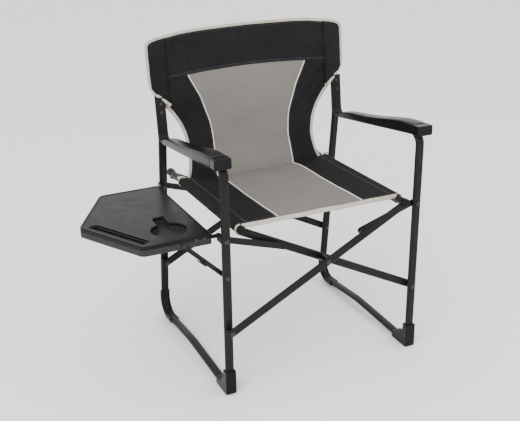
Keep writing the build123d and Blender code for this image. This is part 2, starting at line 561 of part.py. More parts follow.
BU_F, BL_F = -295.6, -298.6          # front brace: upper and lower segment, front faces
BU_R, BL_R = 133.4, 136.4            # rear brace
fr = brace_set(BU_F, BL_F, TRAY_FRONT, leg_y(BRACE_LZ), LEG_LEAN, 1)
rr = brace_set(BU_R, BL_R, TRAY_REAR, post_y(BRACE_LZ), POST_LEAN, -1)
put("brace_upper_front", fr[0])
put("brace_upper_rear", rr[0])
put("brace_lower_front", fr[1])
put("brace_lower_rear", rr[1])
put("brace_tray_pivots", Compound(children=[fr[2], fr[3], rr[2], rr[3]]))
put("brace_leg_pivots", Compound(children=[*fr[4].solids(), *fr[5].solids(), *rr[4].solids(), *rr[5].solids()]))

# ------------------------------------------------------------- rivets on the frames


def head_dir(o, d, r, h):
    # low domed head standing on the point o along d
    c = Plane(origin=o, z_dir=d) * Cylinder(r, h, align=(Align.CENTER, Align.CENTER, Align.MIN))
    dv = Vector(*d).normalized()
    e = sorted(c.edges().filter_by(GeomType.CIRCLE), key=lambda k: k.center().dot(dv))[-1]
    return fillet(e, h * 0.6)


def frame_rivets(s, D):
    out = []
    x = s * W
    for z in (674.0, 699.0):
        nv = Vector(0, -1, RISER_LEAN).normalized()
        out.append(head_dir(Vector(x, D["riser_front"](z), z) + nv * 0.03, nv, 4.5, 2.4))
    # boot rivet on the runner, guard rivet in the channel of the bend
    out.append(head_dir((x, -248.0, 23.2 + (-248.0 - FOOT_END) * -2.3 / 32.0 + 0.06), (0, 2.3 / 32.0, 1), 4.5, 1.8))
    gp = D["g_path"]
    t = min((k / 200.0 for k in range(201)), key=lambda v: abs(abs((gp % v).Y) - abs((gp % v).Z)))
    q, tv = gp @ t, gp % t
    n = Vector(0, tv.Z, -tv.Y)
    out.append(head_dir(q + n * (FACE + 0.3), n, 4.0, 1.8))
    return out


fr_l, fr_r = frame_rivets(-1, L), frame_rivets(1, R)


def bore(shape, cuts):
    for x, z, y0, y1, r in cuts:
        shape = shape - rod(x, z, y0, y1, r)
    return shape


for D, s, tag in ((L, -1, "left"), (R, 1, "right")):
    x = s * W
    legc = [(x, PIVOT_Z, -360, -270, PIN_R), (x, LINK_Z, -360, -290, PIN_R)]
    postc = [(x, PIVOT_Z, 150, 240, PIN_R), (x, LINK_Z, 120, 200, PIN_R)]
    if s < 0:
        legc.append((BRACE_LX, BRACE_LZ, -360, -290, 3.5))
        postc.append((BRACE_LX, BRACE_LZ, 140, 220, 3.5))
    put(tag + "_front_leg", bore(D["leg"], legc))
    put(tag + "_rear_post", bore(D["post"], postc))
    put(tag + "_arm_tube", D["arm"])
    put(tag + "_floor_runner", D["runner"])
    put(tag + "_front_foot", D["foot"])
    put(tag + "_rear_guard", D["guard"])
    put(tag + "_armrest_pad", D["pad"])
    put(tag + "_armrest_cap", D["cap"])
    put(tag + "_post_plug", D["plug"])
riv_l = Compound(children=fr_l)
riv_r = Compound(children=fr_r)
put("left_frame_rivets", riv_l)
put("right_frame_rivets", riv_r)

# ------------------------------------------------------------- soft parts
RF = RAIL_R + 0.5
RO = RAIL_R + 2.9
sl_r = rod(RAIL_X, RAIL_Z, -310, 128, RO) - rod(RAIL_X, RAIL_Z, -311, 129, RF)
sl_l = rod(-RAIL_X, RAIL_Z, -282.5, 128, RO) - rod(-RAIL_X, RAIL_Z, -283.5, 129, RF)
sheet = box(-RAIL_X, RAIL_X, -300, 113, RAIL_Z + RO - 3.0, RAIL_Z + RO)
sheet = sheet - rod(RAIL_X, RAIL_Z, -311, 129, RF) - rod(-RAIL_X, RAIL_Z, -311, 129, RF)
seat = sheet + sl_r + sl_l
seat = seat - box(-250, -212, -301, -282.6, 440, 490)
put("seat_fabric", seat)

zs = RAIL_Z + RO - 3.0
prof = [(114.0, zs), (124.0, 500), (136.0, 545), (141.0, 600), (141.5, 700), (144.5, 745), (156.5, 893)]
prof2 = [(y + 3.0, z) for y, z in reversed(prof)]
bs = prism_x(prof + prof2, -255, 255)
out = [(-258, 878), (-240, 881), (-200, 887), (-140, 890), (0, 892), (140, 890), (200, 887), (240, 881), (258, 878),
       (255, 735), (278, 729), (262, 708), (238, 682), (218, 648), (206, 610), (199, 565), (200, 515), (212, zs)]
out = out[:9] + [(255, 735)] + out[10:]
out += [(-a, b) for a, b in reversed(out[9:])]
of_ = make_face(Polyline(*[(a, 60, b) for a, b in out], close=True))
bs = bs & extrude(of_, 160, dir=(0, 1, 0))
back = bs
for s in (-1, 1):
    p = path_yz(s * 276.0, [(post_y(741.0), 741.0), (post_y(866.5), 866.5)])
    sl = bar_sweep(p, 50.0, 20.0)
    q = path_yz(s * W, [(post_y(730.0), 730.0), (post_y(880.0), 880.0)])
    sl = sl - bar_sweep(q, TUBE_W + 2.0, TUBE_T + 2.0)
    back = back + sl
    tp = path_yz(s * 276.0, [(post_y(866.5), 866.5), (post_y(870.5), 870.5)])
    back = back + bar_sweep(tp, 50.0, 20.0)
# clear the posts' plugs
for s in (-1, 1):
    q = path_yz(s * W, [(post_y(730.0), 730.0), (post_y(866.0), 866.0)])
    back = back - bar_sweep(q, TUBE_W + 2.0, TUBE_T + 2.0)
put("back_fabric", back)

# ------------------------------------------------------------- write
move = Pos(OX, OY, 0)
lo, hi = [1e9] * 3, [-1e9] * 3
for name, shp in nodes.items():
    shp = move * shp
    shp.label = name
    export_step(shp, f"parts/{name}.step")
    bb = shp.bounding_box()
    for i, (a, b) in enumerate(((bb.min.X, bb.max.X), (bb.min.Y, bb.max.Y), (bb.min.Z, bb.max.Z))):
        lo[i] = min(lo[i], a)
        hi[i] = max(hi[i], b)
print("nodes", len(nodes))
print("box", [round(v, 2) for v in lo], [round(v, 2) for v in hi])
print("centre offset", [round((a + b) / 2, 3) for a, b in zip(lo, hi)])
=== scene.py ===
import bpy
import math
import numpy as np
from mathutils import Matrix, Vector

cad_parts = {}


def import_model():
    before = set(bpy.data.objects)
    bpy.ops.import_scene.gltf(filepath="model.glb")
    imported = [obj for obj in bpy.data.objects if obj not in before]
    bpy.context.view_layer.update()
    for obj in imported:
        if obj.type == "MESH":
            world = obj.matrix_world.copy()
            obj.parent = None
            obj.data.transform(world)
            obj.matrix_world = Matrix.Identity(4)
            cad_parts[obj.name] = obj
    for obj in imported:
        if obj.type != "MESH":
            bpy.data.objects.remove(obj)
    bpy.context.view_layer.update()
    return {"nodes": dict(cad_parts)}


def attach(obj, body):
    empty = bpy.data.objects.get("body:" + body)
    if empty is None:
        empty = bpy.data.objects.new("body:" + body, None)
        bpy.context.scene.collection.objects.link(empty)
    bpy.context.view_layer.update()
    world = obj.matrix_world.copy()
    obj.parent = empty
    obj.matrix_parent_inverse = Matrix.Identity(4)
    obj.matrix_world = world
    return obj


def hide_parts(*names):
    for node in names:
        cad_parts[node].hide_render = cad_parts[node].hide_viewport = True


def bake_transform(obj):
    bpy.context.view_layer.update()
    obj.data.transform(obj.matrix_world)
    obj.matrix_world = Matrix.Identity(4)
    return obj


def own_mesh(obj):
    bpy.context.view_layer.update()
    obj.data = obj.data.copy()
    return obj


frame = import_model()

rng = np.random.default_rng(7)
MM = 0.001
OX, OY = 138.507, 57.921          # chair centre plane and datum in the row frame, mm
W = 280.0
nodes = frame["nodes"]


# ------------------------------------------------------------------ materials
class G:
    def __init__(self, name):
        self.m = bpy.data.materials.new(name)
        self.m.use_nodes = True
        self.t = self.m.node_tree
        self.p = self.t.nodes["Principled BSDF"]

    def n(self, kind, **kw):
        x = self.t.nodes.new(kind)
        for k, v in kw.items():
            setattr(x, k, v)
        return x

    def l(self, a, b):
        self.t.links.new(a, b)

    def math(self, op, a, b=None, c=None):
        x = self.n("ShaderNodeMath", operation=op)
        for i, v in enumerate((a, b, c)):
            if v is None:
                continue
            if isinstance(v, (int, float)):
                x.inputs[i].default_value = v
            else:
                self.l(v, x.inputs[i])
        return x.outputs[0]

    def noise(self, vec, scale, detail=3.0, rough=0.5):
        x = self.n("ShaderNodeTexNoise")
        x.inputs["Scale"].default_value = scale
        x.inputs["Detail"].default_value = detail
        x.inputs["Roughness"].default_value = rough
        self.l(vec, x.inputs["Vector"])
        return x.outputs["Fac"]

    def scaled(self, vec, s):
        x = self.n("ShaderNodeMapping")
        x.inputs["Scale"].default_value = s
        self.l(vec, x.inputs["Vector"])
        return x.outputs[0]

    def mixc(self, fac, a, b):
        x = self.n("ShaderNodeMix", data_type="RGBA")
        self.l(fac, x.inputs[0]) if not isinstance(fac, (int, float)) else setattr(x.inputs[0], "default_value", fac)
        for i, v in ((6, a), (7, b)):
            if isinstance(v, tuple):
                x.inputs[i].default_value = (*v, 1)
            else:
                self.l(v, x.inputs[i])
        return x.outputs[2]

    def ramp(self, v, lo, hi, a=0.0, b=1.0):
        x = self.n("ShaderNodeMapRange")
        self.l(v, x.inputs[0])
        for i, q in ((1, lo), (2, hi), (3, a), (4, b)):
            x.inputs[i].default_value = q
        return x.outputs[0]

    def bump(self, h, dist, strength=1.0, prev=None):
        x = self.n("ShaderNodeBump")
        x.inputs["Strength"].default_value = strength
        x.inputs["Distance"].default_value = dist
        self.l(h, x.inputs["Height"])
        if prev is not None:
            self.l(prev, x.inputs["Normal"])
        return x.outputs[0]

    def obj(self):
        return self.n("ShaderNodeTexCoord").outputs["Object"]

    def uv(self):
        return self.n("ShaderNodeTexCoord").outputs["UV"]


def cloth(name, dark, light, pitch=1.1, bump=0.00035, rough=0.85, streak=0.5, ribs=False):
    g = G(name)
    uv = g.uv()
    sx = g.n("ShaderNodeSeparateXYZ")
    g.l(uv, sx.inputs[0])
    k = 2 * math.pi / (pitch * MM)
    su = g.math("SINE", g.math("MULTIPLY", sx.outputs[0], k))
    sv = g.math("SINE", g.math("MULTIPLY", sx.outputs[1], k))
    weave = g.math("ADD", g.math("MULTIPLY", g.math("MULTIPLY", su, sv), 0.5), 0.5)
    ha = g.noise(g.scaled(uv, (26, 520, 1)), 1.0, 3.0, 0.6)
    hb = g.noise(g.scaled(uv, (520, 26, 1)), 1.0, 3.0, 0.6)
    big = g.noise(g.obj(), 9.0, 4.0, 0.55)
    mot = g.noise(g.obj(), 120.0, 2.0, 0.5)
    s = g.math("ADD", g.math("MULTIPLY", ha, streak), g.math("MULTIPLY", hb, streak * 0.8))
    s = g.math("ADD", s, g.math("MULTIPLY", weave, 0.22))
    s = g.math("ADD", s, g.math("MULTIPLY", big, 0.35))
    s = g.math("ADD", s, g.math("MULTIPLY", mot, 0.2))
    tot = streak * 1.8 + 0.77
    col = g.mixc(g.ramp(s, tot * 0.30, tot * 0.72), dark, light)
    g.l(col, g.p.inputs["Base Color"])
    g.l(g.ramp(big, 0.2, 0.8, rough - 0.08, rough + 0.06), g.p.inputs["Roughness"])
    g.p.inputs["Specular IOR Level"].default_value = 0.08
    b1 = g.bump(g.noise(g.obj(), 26.0, 3.0, 0.5), 0.0022, 0.35)
    b2 = g.bump(g.math("ADD", ha, hb), 0.0004, 0.5, b1)
    b3 = g.bump(weave, bump, 0.8, b2)
    g.l(b3, g.p.inputs["Normal"])
    return g.m


def tape(name, dark, light):
    # ribbed binding tape: fine dots across and along
    g = G(name)
    uv = g.uv()
    sx = g.n("ShaderNodeSeparateXYZ")
    g.l(uv, sx.inputs[0])
    a = g.math("SINE", g.math("MULTIPLY", sx.outputs[0], 2 * math.pi / (2.6 * MM)))
    b = g.math("SINE", g.math("MULTIPLY", sx.outputs[1], 2 * math.pi / (2.2 * MM)))
    d = g.math("ADD", g.math("MULTIPLY", g.math("MULTIPLY", a, b), 0.5), 0.5)
    big = g.noise(g.obj(), 40.0, 3.0, 0.6)
    f = g.math("ADD", g.math("MULTIPLY", d, 0.6), g.math("MULTIPLY", big, 0.6))
    g.l(g.mixc(g.ramp(f, 0.25, 0.95), dark, light), g.p.inputs["Base Color"])
    g.p.inputs["Roughness"].default_value = 0.8
    g.p.inputs["Sheen Weight"].default_value = 0.2
    g.l(g.bump(d, 0.0004, 0.9, g.bump(big, 0.0006, 0.4)), g.p.inputs["Normal"])
    return g.m


def paint(name, dark, light, r0=0.34, r1=0.5, grain=900.0, wear=True, spec=0.22):
    # powder coat: orange peel, faint streaks, dust in patches, rubbed spots
    g = G(name)
    o = g.obj()
    big = g.noise(o, 7.0, 4.0, 0.6)
    mid = g.noise(o, 60.0, 4.0, 0.65)
    fine = g.noise(o, grain, 2.0, 0.5)
    col = g.mixc(g.ramp(big, 0.3, 0.7), dark, light)
    if wear:
        rub = g.ramp(g.noise(g.scaled(o, (1, 1, 0.12)), 420.0, 4.0, 0.7), 0.66, 0.74)
        rub2 = g.math("MULTIPLY", rub, g.ramp(mid, 0.5, 0.62))
        col = g.mixc(g.math("MULTIPLY", rub2, 0.5), col, tuple(min(1, c * 2.6 + 0.02) for c in light))
    g.l(col, g.p.inputs["Base Color"])
    g.l(g.ramp(mid, 0.25, 0.75, r0, r1), g.p.inputs["Roughness"])
    g.p.inputs["Specular IOR Level"].default_value = spec
    g.l(g.bump(fine, 0.00012, 0.5, g.bump(mid, 0.0003, 0.15)), g.p.inputs["Normal"])
    return g.m


def tray_plastic(name):
    g = G(name)
    o = g.obj()
    geo = g.n("ShaderNodeNewGeometry")
    sx = g.n("ShaderNodeSeparateXYZ")
    g.l(geo.outputs["Normal"], sx.inputs[0])
    ox = g.n("ShaderNodeSeparateXYZ")
    g.l(o, ox.inputs[0])
    low = g.ramp(ox.outputs[2], 0.4508, 0.4526, 1.0, 0.0)       # skirt below the seam line
    big = g.noise(o, 8.0, 4.0, 0.6)
    peb = g.noise(o, 520.0, 3.0, 0.65)
    fine = g.noise(o, 1600.0, 2.0, 0.5)
    top = g.mixc(g.ramp(big, 0.3, 0.7), (0.0040, 0.0037, 0.0035), (0.0075, 0.0070, 0.0066))
    side = g.mixc(g.ramp(peb, 0.4, 0.62), (0.012, 0.0115, 0.011), (0.050, 0.047, 0.043))
    g.l(g.mixc(low, top, side), g.p.inputs["Base Color"])
    r = g.math("ADD", g.ramp(g.noise(o, 30.0, 4.0, 0.6), 0.3, 0.7, 0.30, 0.40), g.math("MULTIPLY", low, 0.22))
    g.l(r, g.p.inputs["Roughness"])
    g.p.inputs["Specular IOR Level"].default_value = 0.12
    h = g.math("ADD", g.math("MULTIPLY", fine, 0.25), g.math("MULTIPLY", g.math("MULTIPLY", peb, low), 2.2))
    g.l(g.bump(h, 0.0003, 0.6), g.p.inputs["Normal"])
    return g.m


M = {
    "steel": paint("powder_coated_steel", (0.0062, 0.0054, 0.0048), (0.0115, 0.0101, 0.0090), 0.33, 0.48, spec=0.15),
    "flat": paint("coated_flat_steel", (0.0050, 0.0046, 0.0043), (0.0100, 0.0092, 0.0084), 0.36, 0.52, spec=0.18),
    "plastic": paint("moulded_black_plastic", (0.0026, 0.0026, 0.0027), (0.0052, 0.0050, 0.0052), 0.24, 0.40, 1400.0, False, 0.13),
    "cap": paint("gloss_black_plastic", (0.0022, 0.0022, 0.0023), (0.0040, 0.0038, 0.0040), 0.14, 0.24, 1100.0, False, 0.16),
    "pad": paint("grained_armrest", (0.0020, 0.0020, 0.0020), (0.0042, 0.0040, 0.0040), 0.24, 0.36, 700.0, False, 0.15),
    "rivet": paint("blackened_rivet", (0.012, 0.012, 0.012), (0.045, 0.043, 0.040), 0.24, 0.40, 800.0, True),
    "tray": tray_plastic("table_plastic"),
    "dark": cloth("dark_oxford_cloth", (0.0040, 0.0036, 0.0042), (0.0260, 0.0243, 0.0258)),
    "grey": cloth("grey_oxford_cloth", (0.158, 0.148, 0.134), (0.222, 0.210, 0.191), streak=0.35),
    "tape": tape("beige_binding_tape", (0.30, 0.265, 0.215), (0.60, 0.545, 0.465)),
    "pipe": tape("white_piping_tape", (0.62, 0.60, 0.56), (0.90, 0.88, 0.83)),
    "thread": tape("sewing_thread", (0.035, 0.032, 0.036), (0.09, 0.085, 0.09)),
}


def dress(o, key):
    o.data.materials.clear()
    o.data.materials.append(M[key])


for nm, o in nodes.items():
    if o.type != "MESH":
        continue
    if nm == "table_tray":
        dress(o, "tray")
    elif nm.endswith("_armrest_cap"):
        dress(o, "cap")
    elif nm.endswith("_armrest_pad"):
        dress(o, "pad")
    elif nm.endswith(("_front_foot", "_rear_guard", "_post_plug", "_rail_caps", "_washers", "_spacers")):
        dress(o, "plastic")
    elif "rivets" in nm or "_pin" in nm or "pivots" in nm or "standoff" in nm:
        dress(o, "rivet")
    elif "link" in nm or "brace" in nm or "hinge" in nm:
        dress(o, "flat")
    elif "fabric" in nm:
        dress(o, "dark")
    else:
        dress(o, "steel")


# ------------------------------------------------------------------ mesh tools
def world(p):
    p = np.asarray(p, float)
    return (p + np.array([OX, OY, 0.0])) * MM


def make(name, verts, faces, uvs, mats, idx=None, smooth=True):
    me = bpy.data.meshes.new(name)
    me.from_pydata([tuple(v) for v in world(verts)], [], faces)
    lay = me.uv_layers.new(name="UVMap")
    uv = np.asarray(uvs, float)
    loops = np.empty(len(me.loops), int)
    me.loops.foreach_get("vertex_index", loops)
    lay.data.foreach_set("uv", (uv[loops] * MM).ravel())
    for k in mats:
        me.materials.append(M[k])
    if idx is not None:
        me.polygons.foreach_set("material_index", idx)
    if smooth:
        me.polygons.foreach_set("use_smooth", [True] * len(me.polygons))
    me.update()
    o = bpy.data.objects.new(name, me)
    bpy.context.scene.collection.objects.link(o)
    return o


def grid(name, P, mats, matf=None, wrap=False, keep=None, thick=0.0, flip=False):
    # P rows x columns x 3, uv from running lengths
    nr, nc = P.shape[:2]
    du = np.linalg.norm(np.diff(P, axis=1), axis=2).mean(0)
    dv = np.linalg.norm(np.diff(P, axis=0), axis=2).mean(1)
    u = np.concatenate([[0], np.cumsum(du)])
    v = np.concatenate([[0], np.cumsum(dv)])
    U, V = np.meshgrid(u, v)
    faces, mi = [], []
    for r in range(nr - 1):
        for c in range(nc if wrap else nc - 1):
            c2 = (c + 1) % nc
            if keep is not None and not keep(r, c):
                continue
            f = (r * nc + c, r * nc + c2, (r + 1) * nc + c2, (r + 1) * nc + c)
            faces.append(f[::-1] if flip else f)
            mi.append(matf(r, c) if matf else 0)
    o = make(name, P.reshape(-1, 3), faces, np.stack([U, V], -1).reshape(-1, 2), mats, mi)
    if thick:
        s = o.modifiers.new("thick", "SOLIDIFY")
        s.thickness = thick * MM
        s.offset = 0.0
    return o


def strip(name, pts, normals, w, t, mat, n=10, closed_ends=True, power=1.0):
    # flattened tube along pts: width w in the surface, thickness t along the normal
    pts = np.asarray(pts, float)
    nm = np.asarray(normals, float)
    if nm.ndim == 1:
        nm = np.repeat(nm[None], len(pts), 0)
    tg = np.gradient(pts, axis=0)
    tg /= np.linalg.norm(tg, axis=1)[:, None] + 1e-9
    nm = nm - (nm * tg).sum(1)[:, None] * tg
    nm /= np.linalg.norm(nm, axis=1)[:, None] + 1e-9
    sd = np.cross(tg, nm)
    a = np.linspace(0, 2 * np.pi, n, endpoint=False)
    ca, sa = np.cos(a), np.sin(a)
    ca = np.sign(ca) * np.abs(ca) ** power
    sa = np.sign(sa) * np.abs(sa) ** power
    P = pts[:, None, :] + sd[:, None, :] * (ca * w / 2)[None, :, None] + nm[:, None, :] * (sa * t / 2)[None, :, None]
    s = np.concatenate([[0], np.cumsum(np.linalg.norm(np.diff(pts, axis=0), axis=1))])
    nr = len(pts)
    V = P.reshape(-1, 3)
    uv = np.stack([np.repeat(s, n), np.tile((a / (2 * np.pi)) * (w * 2 + t), nr)], -1)
    faces = []
    for r in range(nr - 1):
        for c in range(n):
            c2 = (c + 1) % n
            faces.append((r * n + c, r * n + c2, (r + 1) * n + c2, (r + 1) * n + c))
    faces.append(tuple(range(n))[::-1])
    faces.append(tuple((nr - 1) * n + k for k in range(n)))
    return make(name, V, faces, uv, [mat])


def stitches(name, pts, normals, mat="thread", pitch=4.2, length=2.9, r=0.42):
    pts = np.asarray(pts, float)
    nm = np.asarray(normals, float)
    if nm.ndim == 1:
        nm = np.repeat(nm[None], len(pts), 0)
    s = np.concatenate([[0], np.cumsum(np.linalg.norm(np.diff(pts, axis=0), axis=1))])
    V, F, UV = [], [], []
    pos = 1.0
    while pos + length < s[-1]:
        ends = []
        for q in (pos, pos + length):
            ends.append(np.array([np.interp(q, s, pts[:, k]) for k in range(3)]))
        nn = np.array([np.interp(pos, s, nm[:, k]) for k in range(3)])
        nn /= np.linalg.norm(nn) + 1e-9
        d = ends[1] - ends[0]
        ln = np.linalg.norm(d)
        d = d / (ln + 1e-9)
        sd = np.cross(d, nn)
        base = len(V)
        for f, k in ((0.0, 0.35), (0.18, 1.0), (0.82, 1.0), (1.0, 0.35)):
            c = ends[0] + d * ln * f
            for a in range(6):
                an = a * math.pi / 3
                V.append(c + sd * math.cos(an) * r * k + nn * math.sin(an) * r * k)
                UV.append((pos + ln * f, a * 0.4))
        for q in range(3):
            for a in range(6):
                b = (a + 1) % 6
                F.append((base + q * 6 + a, base + q * 6 + b, base + q * 6 + 6 + b, base + q * 6 + 6 + a))
        F.append(tuple(base + a for a in range(6))[::-1])
        F.append(tuple(base + 18 + a for a in range(6)))
        pos += pitch
    return make(name, np.array(V), F, np.array(UV), [mat])


def smooth_table(zs, vs, sigma=9.0):
    zz = np.arange(min(zs) - 60, max(zs) + 60, 1.0)
    vv = np.interp(zz, zs, vs)
    k = np.exp(-0.5 * (np.arange(-40, 41) / sigma) ** 2)
    k /= k.sum()
    v2 = np.convolve(np.pad(vv, 40, mode="edge"), k, "valid")
    return lambda z: np.interp(z, zz, v2)


# ------------------------------------------------------------------ back panel
def post_y(z):
    return np.where(z < 597, 220 - 0.1665 * (z - 72), 132.6 + (153.9 - 132.6) * (z - 597) / 265.0)


HWZ = [445, 462, 470, 480, 500, 528, 555, 595, 629, 665, 700, 723, 760]
HWV = [222, 219, 214, 209, 203, 199, 199, 205, 218, 240, 270, 296, 305]
hw_f = smooth_table(HWZ, HWV, 7.0)
pip_f = smooth_table([440, 475, 510, 552, 588, 627, 663, 705, 726, 762, 800], [124, 124, 123, 120, 122, 128, 140, 153, 164, 181, 196], 8.0)
ybase = smooth_table([440, 462, 480, 505, 545, 600, 700, 745, 868, 900], [112, 115.5, 119, 127, 137, 142.5, 143.0, 145.5, 155.6, 158.5], 9.0)
bow_f = smooth_table([440, 480, 560, 640, 745, 892], [0, 2, 4, 7, 9.5, 10.5], 12.0)
SEAM = 250.0


def seam_z(x):
    return np.interp(np.abs(x), [0, 74, 139, 200, 240, 265, 310], [774, 773, 770.5, 766, 763, 757, 752])


def top_z(x):
    return np.interp(np.abs(x), [0, 140, 200, 240, 262, 280, 292, 299, 303], [892, 890, 887, 881.5, 878.5, 874.5, 870.5, 866, 860])


FOLDS = []
for s in (-1, 1):
    FOLDS += [(s * 247, 742, s * 168, 640, 7, 2.6), (s * 236, 712, s * 176, 600, 6, -2.0), (s * 226, 690, s * 188, 560, 6, 2.0),
              (s * 248, 760, s * 190, 700, 6, -1.6), (s * 205, 560, s * 130, 500, 9, 1.8), (s * 206, 520, s * 140, 470, 8, -1.8),
              (s * 120, 560, s * 30, 490, 14, 1.4), (s * 130, 740, s * 60, 660, 16, 1.2), (s * 246, 800, s * 200, 785, 5, 1.2),
              (s * 244, 840, s * 205, 850, 6, 1.1), (s * 100, 500, s * 20, 475, 8, -1.3)]
PH = rng.uniform(0, 6.28, (7, 2))


def wr(x, z):
    y = 0.0
    for x0, z0, x1, z1, w, a in FOLDS:
        dx, dz = x1 - x0, z1 - z0
        L2 = dx * dx + dz * dz
        t = ((x - x0) * dx + (z - z0) * dz) / L2
        tc = np.clip(t, 0, 1)
        d2 = (x - x0 - tc * dx) ** 2 + (z - z0 - tc * dz) ** 2
        y = y + a * np.exp(-d2 / (w * w)) * (1 - 0.6 * tc)
    for i, (fx, fz) in enumerate(((0.031, 0.022), (-0.024, 0.037), (0.055, 0.018), (0.017, -0.061), (0.09, 0.05), (-0.07, 0.085), (0.012, 0.014))):
        y = y + (0.45, 0.4, 0.3, 0.3, 0.15, 0.15, 0.7)[i] * np.sin(fx * x + fz * z + PH[i, 0])
    return y


def back_y(x, z):
    e = np.clip(1 - (x / 252.0) ** 2, 0, 1)
    return ybase(z) + bow_f(z) * e + wr(x, z) * np.clip(np.minimum(1, (hw_f(z) + 4 - np.abs(x)) / 12.0), 0.25, 1)


NI, NO = 36, 18


def row_x(hw, pp):
    a = np.linspace(-hw, -pp, NO + 1)[:-1]
    b = np.linspace(-pp, pp, NI + 1)
    c = np.linspace(pp, hw, NO + 1)[1:]
    return np.concatenate([a, b, c])


rows = []
zlow = np.linspace(457, 774, 62)
for z in zlow:
    hw = float(min(hw_f(z), SEAM))
    x = row_x(hw, float(pip_f(z)))
    zz = z + (seam_z(x) - 774.0) * np.clip((z - 560) / 214.0, 0, 1) ** 1.5
    rows.append(np.stack([x, back_y(x, zz), zz], -1))
NLOW = len(rows) - 1
x = row_x(SEAM, float(pip_f(774)))
for v in np.linspace(0, 1, 20)[1:]:
    zz = seam_z(x) + (top_z(x) - seam_z(x)) * v
    rows.append(np.stack([x, back_y(x, zz), zz], -1))
P = np.array(rows)


def back_mat(r, c):
    return 1 if (r < NLOW and NO <= c < NO + NI) else 0


panel = grid("back_panel_cloth", P, ["dark", "grey"], back_mat, thick=2.2)
panel_area = None


back_soft = []          # pieces of the back carried on the left frame
left_soft, right_soft = [], []


def front_of(x, z, off):
    return np.stack([x, back_y(x, z) - off, z], -1)


# sleeves round the posts
def sleeve(s):
    nphi, nv = 44, 30
    phi = np.linspace(0, 2 * np.pi, nphi, endpoint=False)
    V = np.linspace(0, 1, nv)
    P_ = np.zeros((nv, nphi, 3))
    for i, v in enumerate(V):
        cx = 276.0
        xx = cx + 27.0 * np.sign(np.cos(phi)) * np.abs(np.cos(phi)) ** 0.85
        zlo = np.interp(xx, [249, 266, 291, 301, 304], [690, 706, 729, 745, 752])
        zz = zlo + (top_z(xx) - 0.6 - zlo) * v
        tp = np.sqrt(np.clip((1 - v) / 0.09, 0, 1)) * 0.93 + 0.07
        th = 11.0 * tp
        rip = 0.7 * np.sin(zz * 0.16 + 2 * np.cos(phi)) * np.clip((1 - v) * 6, 0, 1) * np.clip(v * 6, 0, 1)
        yy = post_y(zz) - (th + rip) * np.sign(np.sin(phi)) * np.abs(np.sin(phi)) ** 0.8
        P_[i] = np.stack([s * xx, yy, zz], -1)
    o = grid("left_back_sleeve" if s < 0 else "right_back_sleeve", P_, ["dark"], wrap=True, thick=1.6, flip=(s < 0))
    return o, P_


for s, lst in ((-1, left_soft), (1, right_soft)):
    o, SP = sleeve(s)
    lst.append(o)
    # binding along the sleeve's outer edge: from the top seam, round the corner, down, and in along the mouth
    xs = np.array([250, 262, 276, 287, 295, 300.5, 303, 303.5, 303.5, 303.2, 302.2, 299.5, 294, 285, 274, 262, 250.0])
    zs = np.array([880, 878.8, 875.6, 872.4, 868.6, 863.5, 857, 838, 800, 766, 752, 741, 731, 721, 711.5, 701, 690.5])
    tt = np.linspace(0, 1, len(xs))
    td = np.linspace(0, 1, 110)
    bx, bz = np.interp(td, tt, xs), np.interp(td, tt, zs)
    k = np.ones(5) / 5
    bx[2:-2], bz[2:-2] = np.convolve(bx, k, "valid"), np.convolve(bz, k, "valid")
    low = np.clip((740 - bz) / 30.0, 0, 1)
    by = post_y(bz) - 5.0 - low * 7.5 * np.clip((post_y(bz) * 0 + 1), 0, 1)
    lst.append(strip("sleeve_binding_%s" % ("l" if s < 0 else "r"), np.stack([s * (bx + 0.8 * np.clip((bx - 290) / 12, 0, 1)), by, bz], -1), (0, -1, 0), 9.0, 5.0, "tape", 12, power=0.8))
    zq = np.linspace(712, 872, 60)
    for dx in (0.0, 3.4):
        lst.append(stitches("sleeve_stitch_%s_%d" % ("l" if s < 0 else "r", dx), np.stack([s * (np.full(60, 252.5) + dx), post_y(zq) - 4.6 - dx * 0.8, zq], -1), (0, -1, 0)))

# binding along the waist, the top edge of the panel, piping, stitches
for s in (-1, 1):
    zq = np.concatenate([np.linspace(466, 700, 120)])
    xq = np.minimum(hw_f(zq), 262)
    yq = back_y(s * np.minimum(xq, 250), zq)
    cur = np.stack([s * xq, yq, zq], -1)
    tail_x = np.array([247, 241, 234, 227, 221.5])
    tail_y = np.array([121.5, 120.5, 119.0, 117.0, 115.6])
    tail_z = np.array([474.5, 476.5, 476.2, 473.0, 468.5])
    tail = np.stack([s * tail_x, tail_y, tail_z], -1)
    ti = np.linspace(0, 1, 5)
    tj = np.linspace(0, 1, 22)[:-1]
    tail = np.stack([np.interp(tj, ti, tail[:, k]) for k in range(3)], -1)
    cur = np.concatenate([tail, cur])
    for _ in range(6):
        cur[1:-1] = (cur[:-2] + 2 * cur[1:-1] + cur[2:]) / 4
    back_soft.append(strip("waist_binding_%s" % ("l" if s < 0 else "r"), cur, (0, -1, 0.05), 9.5, 5.0, "tape", 12, power=0.8))
    zq = np.linspace(459, 773, 150)
    xq = pip_f(zq)
    zz = zq + (seam_z(xq) - 774.0) * np.clip((zq - 560) / 214.0, 0, 1) ** 1.5
    back_soft.append(strip("back_piping_%s" % ("l" if s < 0 else "r"), front_of(s * xq, zz, 1.4), (0, -1, 0), 3.2, 3.2, "pipe", 8))
    back_soft.append(stitches("back_side_stitch_%s" % ("l" if s < 0 else "r"), front_of(s * (xq + 5.0), zz, 1.15), (0, -1, 0)))
xt = np.linspace(-252, 252, 160)
back_soft.append(strip("top_binding", np.stack([xt, back_y(xt, top_z(xt)) + 0.2, top_z(xt) - 1.5], -1), (0, -1, 0.1), 9.0, 5.0, "tape", 12, power=0.8))
for dz in (2.6, 6.4):
    back_soft.append(stitches("band_stitch_%d" % (dz * 10), front_of(xt, seam_z(xt) + dz, 1.15), (0, -1, 0)))
